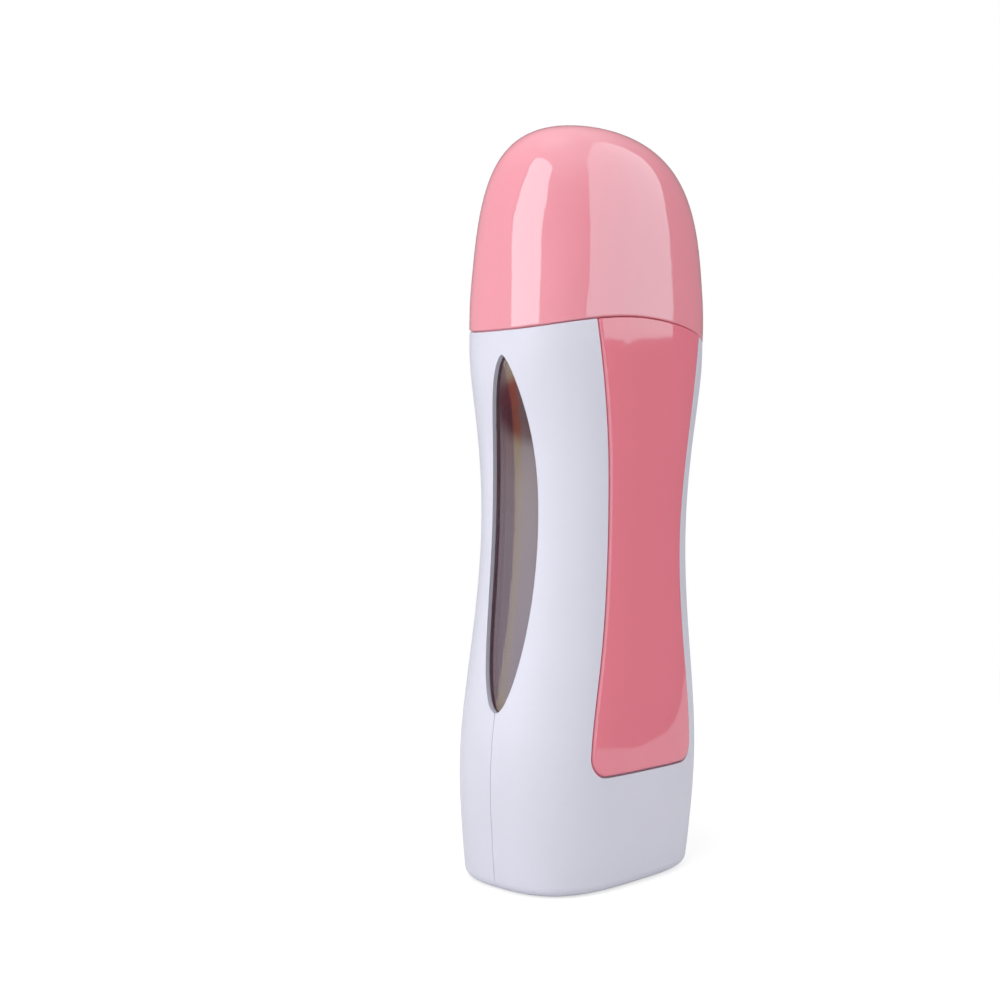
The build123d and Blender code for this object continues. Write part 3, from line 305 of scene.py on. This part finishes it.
# ---------------------------------------------------------------- materials
# Noise scales are in waves a metre, and depths of grain in metres.
CLOUD_SCALE, CLOUD_DETAIL = 60.0, 3.0
CLOUD_DEPTH = 0.02                   # the colour gets this share lighter and darker
POLISH_SCALE, POLISH_DETAIL = 140.0, 4.0
POLISH_SHARES = (0.85, 1.2)          # shares of its roughness between which the polish varies
GRAIN_SCALE, GRAIN_DETAIL = 2600.0, 2.0


def moulded(name, colour, roughness, ior=1.5, tint=WHITE, grain=0.0, metallic=0.0, transmission=0.0,
            alpha=1.0):
    """Finish with faint clouding of its colour, uneven polish, and grain as bump."""
    material, tree = new_material(name)
    place = add(tree, "ShaderNodeTexCoord")
    surface = add(tree, "ShaderNodeBsdfPrincipled", Metallic=metallic, IOR=ior)
    surface.inputs["Specular Tint"].default_value = rgba(tint)
    surface.inputs["Transmission Weight"].default_value = transmission
    surface.inputs["Alpha"].default_value = alpha
    output = add(tree, "ShaderNodeOutputMaterial")

    cloud = add(tree, "ShaderNodeTexNoise", Scale=CLOUD_SCALE, Detail=CLOUD_DETAIL)
    shade = add(tree, "ShaderNodeMix", data_type="RGBA")
    shade.inputs["A"].default_value = rgba(colour, 1 - CLOUD_DEPTH)
    shade.inputs["B"].default_value = rgba(colour, 1 + CLOUD_DEPTH)
    polish = add(tree, "ShaderNodeTexNoise", Scale=POLISH_SCALE, Detail=POLISH_DETAIL)
    uneven = add(tree, "ShaderNodeMapRange")
    uneven.inputs["To Min"].default_value = roughness * POLISH_SHARES[0]
    uneven.inputs["To Max"].default_value = roughness * POLISH_SHARES[1]
    for noise in (cloud, polish):
        tree.links.new(place.outputs["Object"], noise.inputs["Vector"])
    tree.links.new(cloud.outputs["Fac"], shade.inputs["Factor"])
    tree.links.new(shade.outputs["Result"], surface.inputs["Base Color"])
    tree.links.new(polish.outputs["Fac"], uneven.inputs["Value"])
    tree.links.new(uneven.outputs["Result"], surface.inputs["Roughness"])

    if grain:
        waves = add(tree, "ShaderNodeTexNoise", Scale=GRAIN_SCALE, Detail=GRAIN_DETAIL)
        bump = add(tree, "ShaderNodeBump", Strength=1.0, Distance=grain)
        tree.links.new(place.outputs["Object"], waves.inputs["Vector"])
        tree.links.new(waves.outputs["Fac"], bump.inputs["Height"])
        tree.links.new(bump.outputs["Normal"], surface.inputs["Normal"])
    tree.links.new(surface.outputs[0], output.inputs["Surface"])
    return material


PINK_GLINT = (0.35, 1.0, 1.0)        # tint of the reflections on pink
MATERIALS = {
    "casing_white": dict(colour=(0.665, 0.665, 0.765), roughness=0.38),
    "panel_pink": dict(colour=(0.86, 0.20, 0.27), roughness=0.04, ior=1.9, tint=PINK_GLINT),
    "cap_pink": dict(colour=(0.88, 0.29, 0.36), roughness=0.04, ior=1.9, tint=PINK_GLINT),
    "window_smoked": dict(colour=(0.085, 0.03, 0.045), roughness=0.03, ior=1.8, alpha=0.55),
    "inlet_grey": dict(colour=(0.05, 0.05, 0.055), roughness=0.45, grain=2e-5),
    "pin_metal": dict(colour=(0.80, 0.78, 0.74), roughness=0.2, metallic=1.0),
    "screw_steel": dict(colour=(0.55, 0.55, 0.56), roughness=0.3, metallic=1.0),
    "foot_rubber": dict(colour=(0.03, 0.03, 0.032), roughness=0.7, grain=3e-5),
    "cradle_plastic": dict(colour=(0.06, 0.055, 0.055), roughness=0.5, grain=2e-5),
    "collar_white": dict(colour=(0.60, 0.60, 0.66), roughness=0.4),
    "plate_aluminium": dict(colour=(0.70, 0.70, 0.72), roughness=0.35, metallic=1.0),
    "heater_ceramic": dict(colour=(0.62, 0.60, 0.58), roughness=0.6),
    "amber_film": dict(colour=(0.60, 0.26, 0.04), roughness=0.25),
    "component_dark": dict(colour=(0.03, 0.03, 0.035), roughness=0.5),
    "fuse_metal": dict(colour=(0.60, 0.60, 0.62), roughness=0.3, metallic=1.0),
    "lamp_red": dict(colour=(0.45, 0.02, 0.02), roughness=0.15),
    "lens_red": dict(colour=(0.42, 0.02, 0.03), roughness=0.12),
    "board_green": dict(colour=(0.02, 0.12, 0.05), roughness=0.35),
    "capacitor_yellow": dict(colour=(0.72, 0.50, 0.06), roughness=0.35),
    "wire_insulation": dict(colour=(0.55, 0.54, 0.52), roughness=0.45),
    "bottle_clear": dict(colour=(0.90, 0.84, 0.74), roughness=0.08, ior=1.49, transmission=1.0),
    "wax_amber": dict(colour=(0.50, 0.36, 0.14), roughness=0.2),
    "head_white": dict(colour=(0.62, 0.62, 0.64), roughness=0.35),
    "roller_white": dict(colour=(0.66, 0.66, 0.68), roughness=0.2),
}


def dress():
    """Gives every CAD node the finish of its material slot."""
    made = {slot: moulded(slot, **finish) for slot, finish in MATERIALS.items()}
    for row in frame["record"]["subparts"]:
        mesh = nodes[row["node"]].data
        mesh.materials.clear()
        mesh.materials.append(made[row["material_slot"]])


# ------------------------------------------- panels and what shows in gaps
EDGE_SHIFT = 0.00033                 # the panels' edges are this much nearer to +X than in the CAD
SEAT_WIDER = 0.0003                  # the step round the panel's foot is this much wider, to show in the gap
SEAT_DEEPER = 0.0009                 # and lies this much deeper
SEAT_MIDDLE = 0.012                  # nearer the middle than this, both changes in X shrink to nothing
SEAT_LOW = (0.031, 0.06)             # heights between which the lowering of the bottom edge fades out
SEAT_HIGH = (0.10, 0.14)             # heights between which the step sinks under the casing's top edge
SKIRT_OUTER = 0.0008                 # the step in the cap's edge lies this far inside the cap's outer face
SKIRT_INNER = 0.0003                 # this far inside its inner face
SKIRT_LOWER = 0.0003                 # and this much lower
SKIRT_POWER = 2.65                   # superellipse power of the cap's edge
SKIRT_SHARES = (0.955, 0.975)        # shares of its reach where the inner face ends and the outer one begins


def changed_copy(name, source, body):
    """New piece with a copy of a CAD node's mesh, which keeps its finish."""
    piece = bpy.data.objects.new(name, nodes[source].data.copy())
    scene.collection.objects.link(piece)
    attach(piece, body)
    return piece


def lay_panel(name, side):
    """Panel with its edges shifted in the recess, and a step round its foot that is wider and lies deeper."""
    low, high = SEAT_LOW
    level, top = SEAT_HIGH
    face = changed_copy(name + "_face", name, "casing")
    for vertex in face.data.vertices:
        vertex.co.x += EDGE_SHIFT * min(1, abs(vertex.co.x) / SEAT_MIDDLE)
    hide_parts(name)
    seat = changed_copy(name + "_seat", name, "casing")
    for vertex in seat.data.vertices:
        z = vertex.co.z
        vertex.co.x += SEAT_WIDER * max(-1, min(1, vertex.co.x / SEAT_MIDDLE))
        vertex.co.y -= side * SEAT_DEEPER
        vertex.co.z -= SEAT_WIDER * max(0, min(1, (high - z) / (high - low)))
        vertex.co.z -= SEAT_DEEPER * max(0, min(1, (z - level) / (top - level)))


def line_cap():
    """Step in the cap's edge, which shows in its joint: a copy of the cap, slightly smaller and lower."""
    _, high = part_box("cap")
    inner, outer = SKIRT_SHARES
    skirt = changed_copy("cap_skirt", "cap", "cap")
    for vertex in skirt.data.vertices:
        x, y = vertex.co.x / high.x, vertex.co.y / high.y
        reach = (abs(x) ** SKIRT_POWER + abs(y) ** SKIRT_POWER) ** (1 / SKIRT_POWER)
        share = max(0, min(1, (reach - inner) / (outer - inner)))
        inset = SKIRT_INNER + (SKIRT_OUTER - SKIRT_INNER) * share
        vertex.co.x -= inset * x
        vertex.co.y -= inset * y
        vertex.co.z -= SKIRT_LOWER


# -------------------------------------------------------------- sunk panes
PANE_SUNK = 0.0014                   # the panes' outer faces lie this far inside the casing's surface
PANE_EDGE = 0.00015                  # points of their sides lie at least this much deeper
PANE_FACE = 0.3                      # least outward part of the normal of an outer face
WELD = 5e-5                          # points this near to each other are one place


def outer_face(mesh, side):
    """Points of a pane's outer face: the patch facing outwards that holds the outermost point."""
    spots = KDTree(len(mesh.vertices))
    for vertex in mesh.vertices:
        spots.insert(vertex.co, vertex.index)
    spots.balance()
    links = {}
    for polygon in mesh.polygons:
        if polygon.normal.x * side > PANE_FACE:
            for k in polygon.vertices:
                links.setdefault(k, set()).update(polygon.vertices)
    start = max(links, key=lambda k: mesh.vertices[k].co.x * side)
    face, front = {start}, [start]
    while front:
        here = front.pop()
        near = {k for _, k, _ in spots.find_range(mesh.vertices[here].co, WELD)}
        for k in (links.get(here, set()) | near) - face:
            face.add(k)
            front.append(k)
    return face


def sink_pane(name, side):
    """Copy of a pane whose outer face is moved in, so that the wall of its opening shows."""
    piece = changed_copy("sunk_" + name, name, "casing")
    mesh = piece.data
    face = outer_face(mesh, side)
    outline = KDTree(len(face))
    for k in face:
        outline.insert((0, *mesh.vertices[k].co.yz), k)
    outline.balance()
    skin_x = {k: mesh.vertices[k].co.x for k in face}
    for vertex in mesh.vertices:
        skin = skin_x[outline.find((0, *vertex.co.yz))[1]]
        sunk = PANE_SUNK if vertex.index in face else PANE_SUNK + PANE_EDGE
        if (skin - vertex.co.x) * side < sunk:
            vertex.co.x = skin - side * sunk
    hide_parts(name)


make_camera()
make_cards()
make_surround()
make_floor()
make_world()
dress()
sink_pane("window_left", -1)
sink_pane("window_right", 1)
lay_panel("front_panel", -1)
lay_panel("rear_panel", 1)
line_cap()
scene.view_settings.view_transform = "Standard"
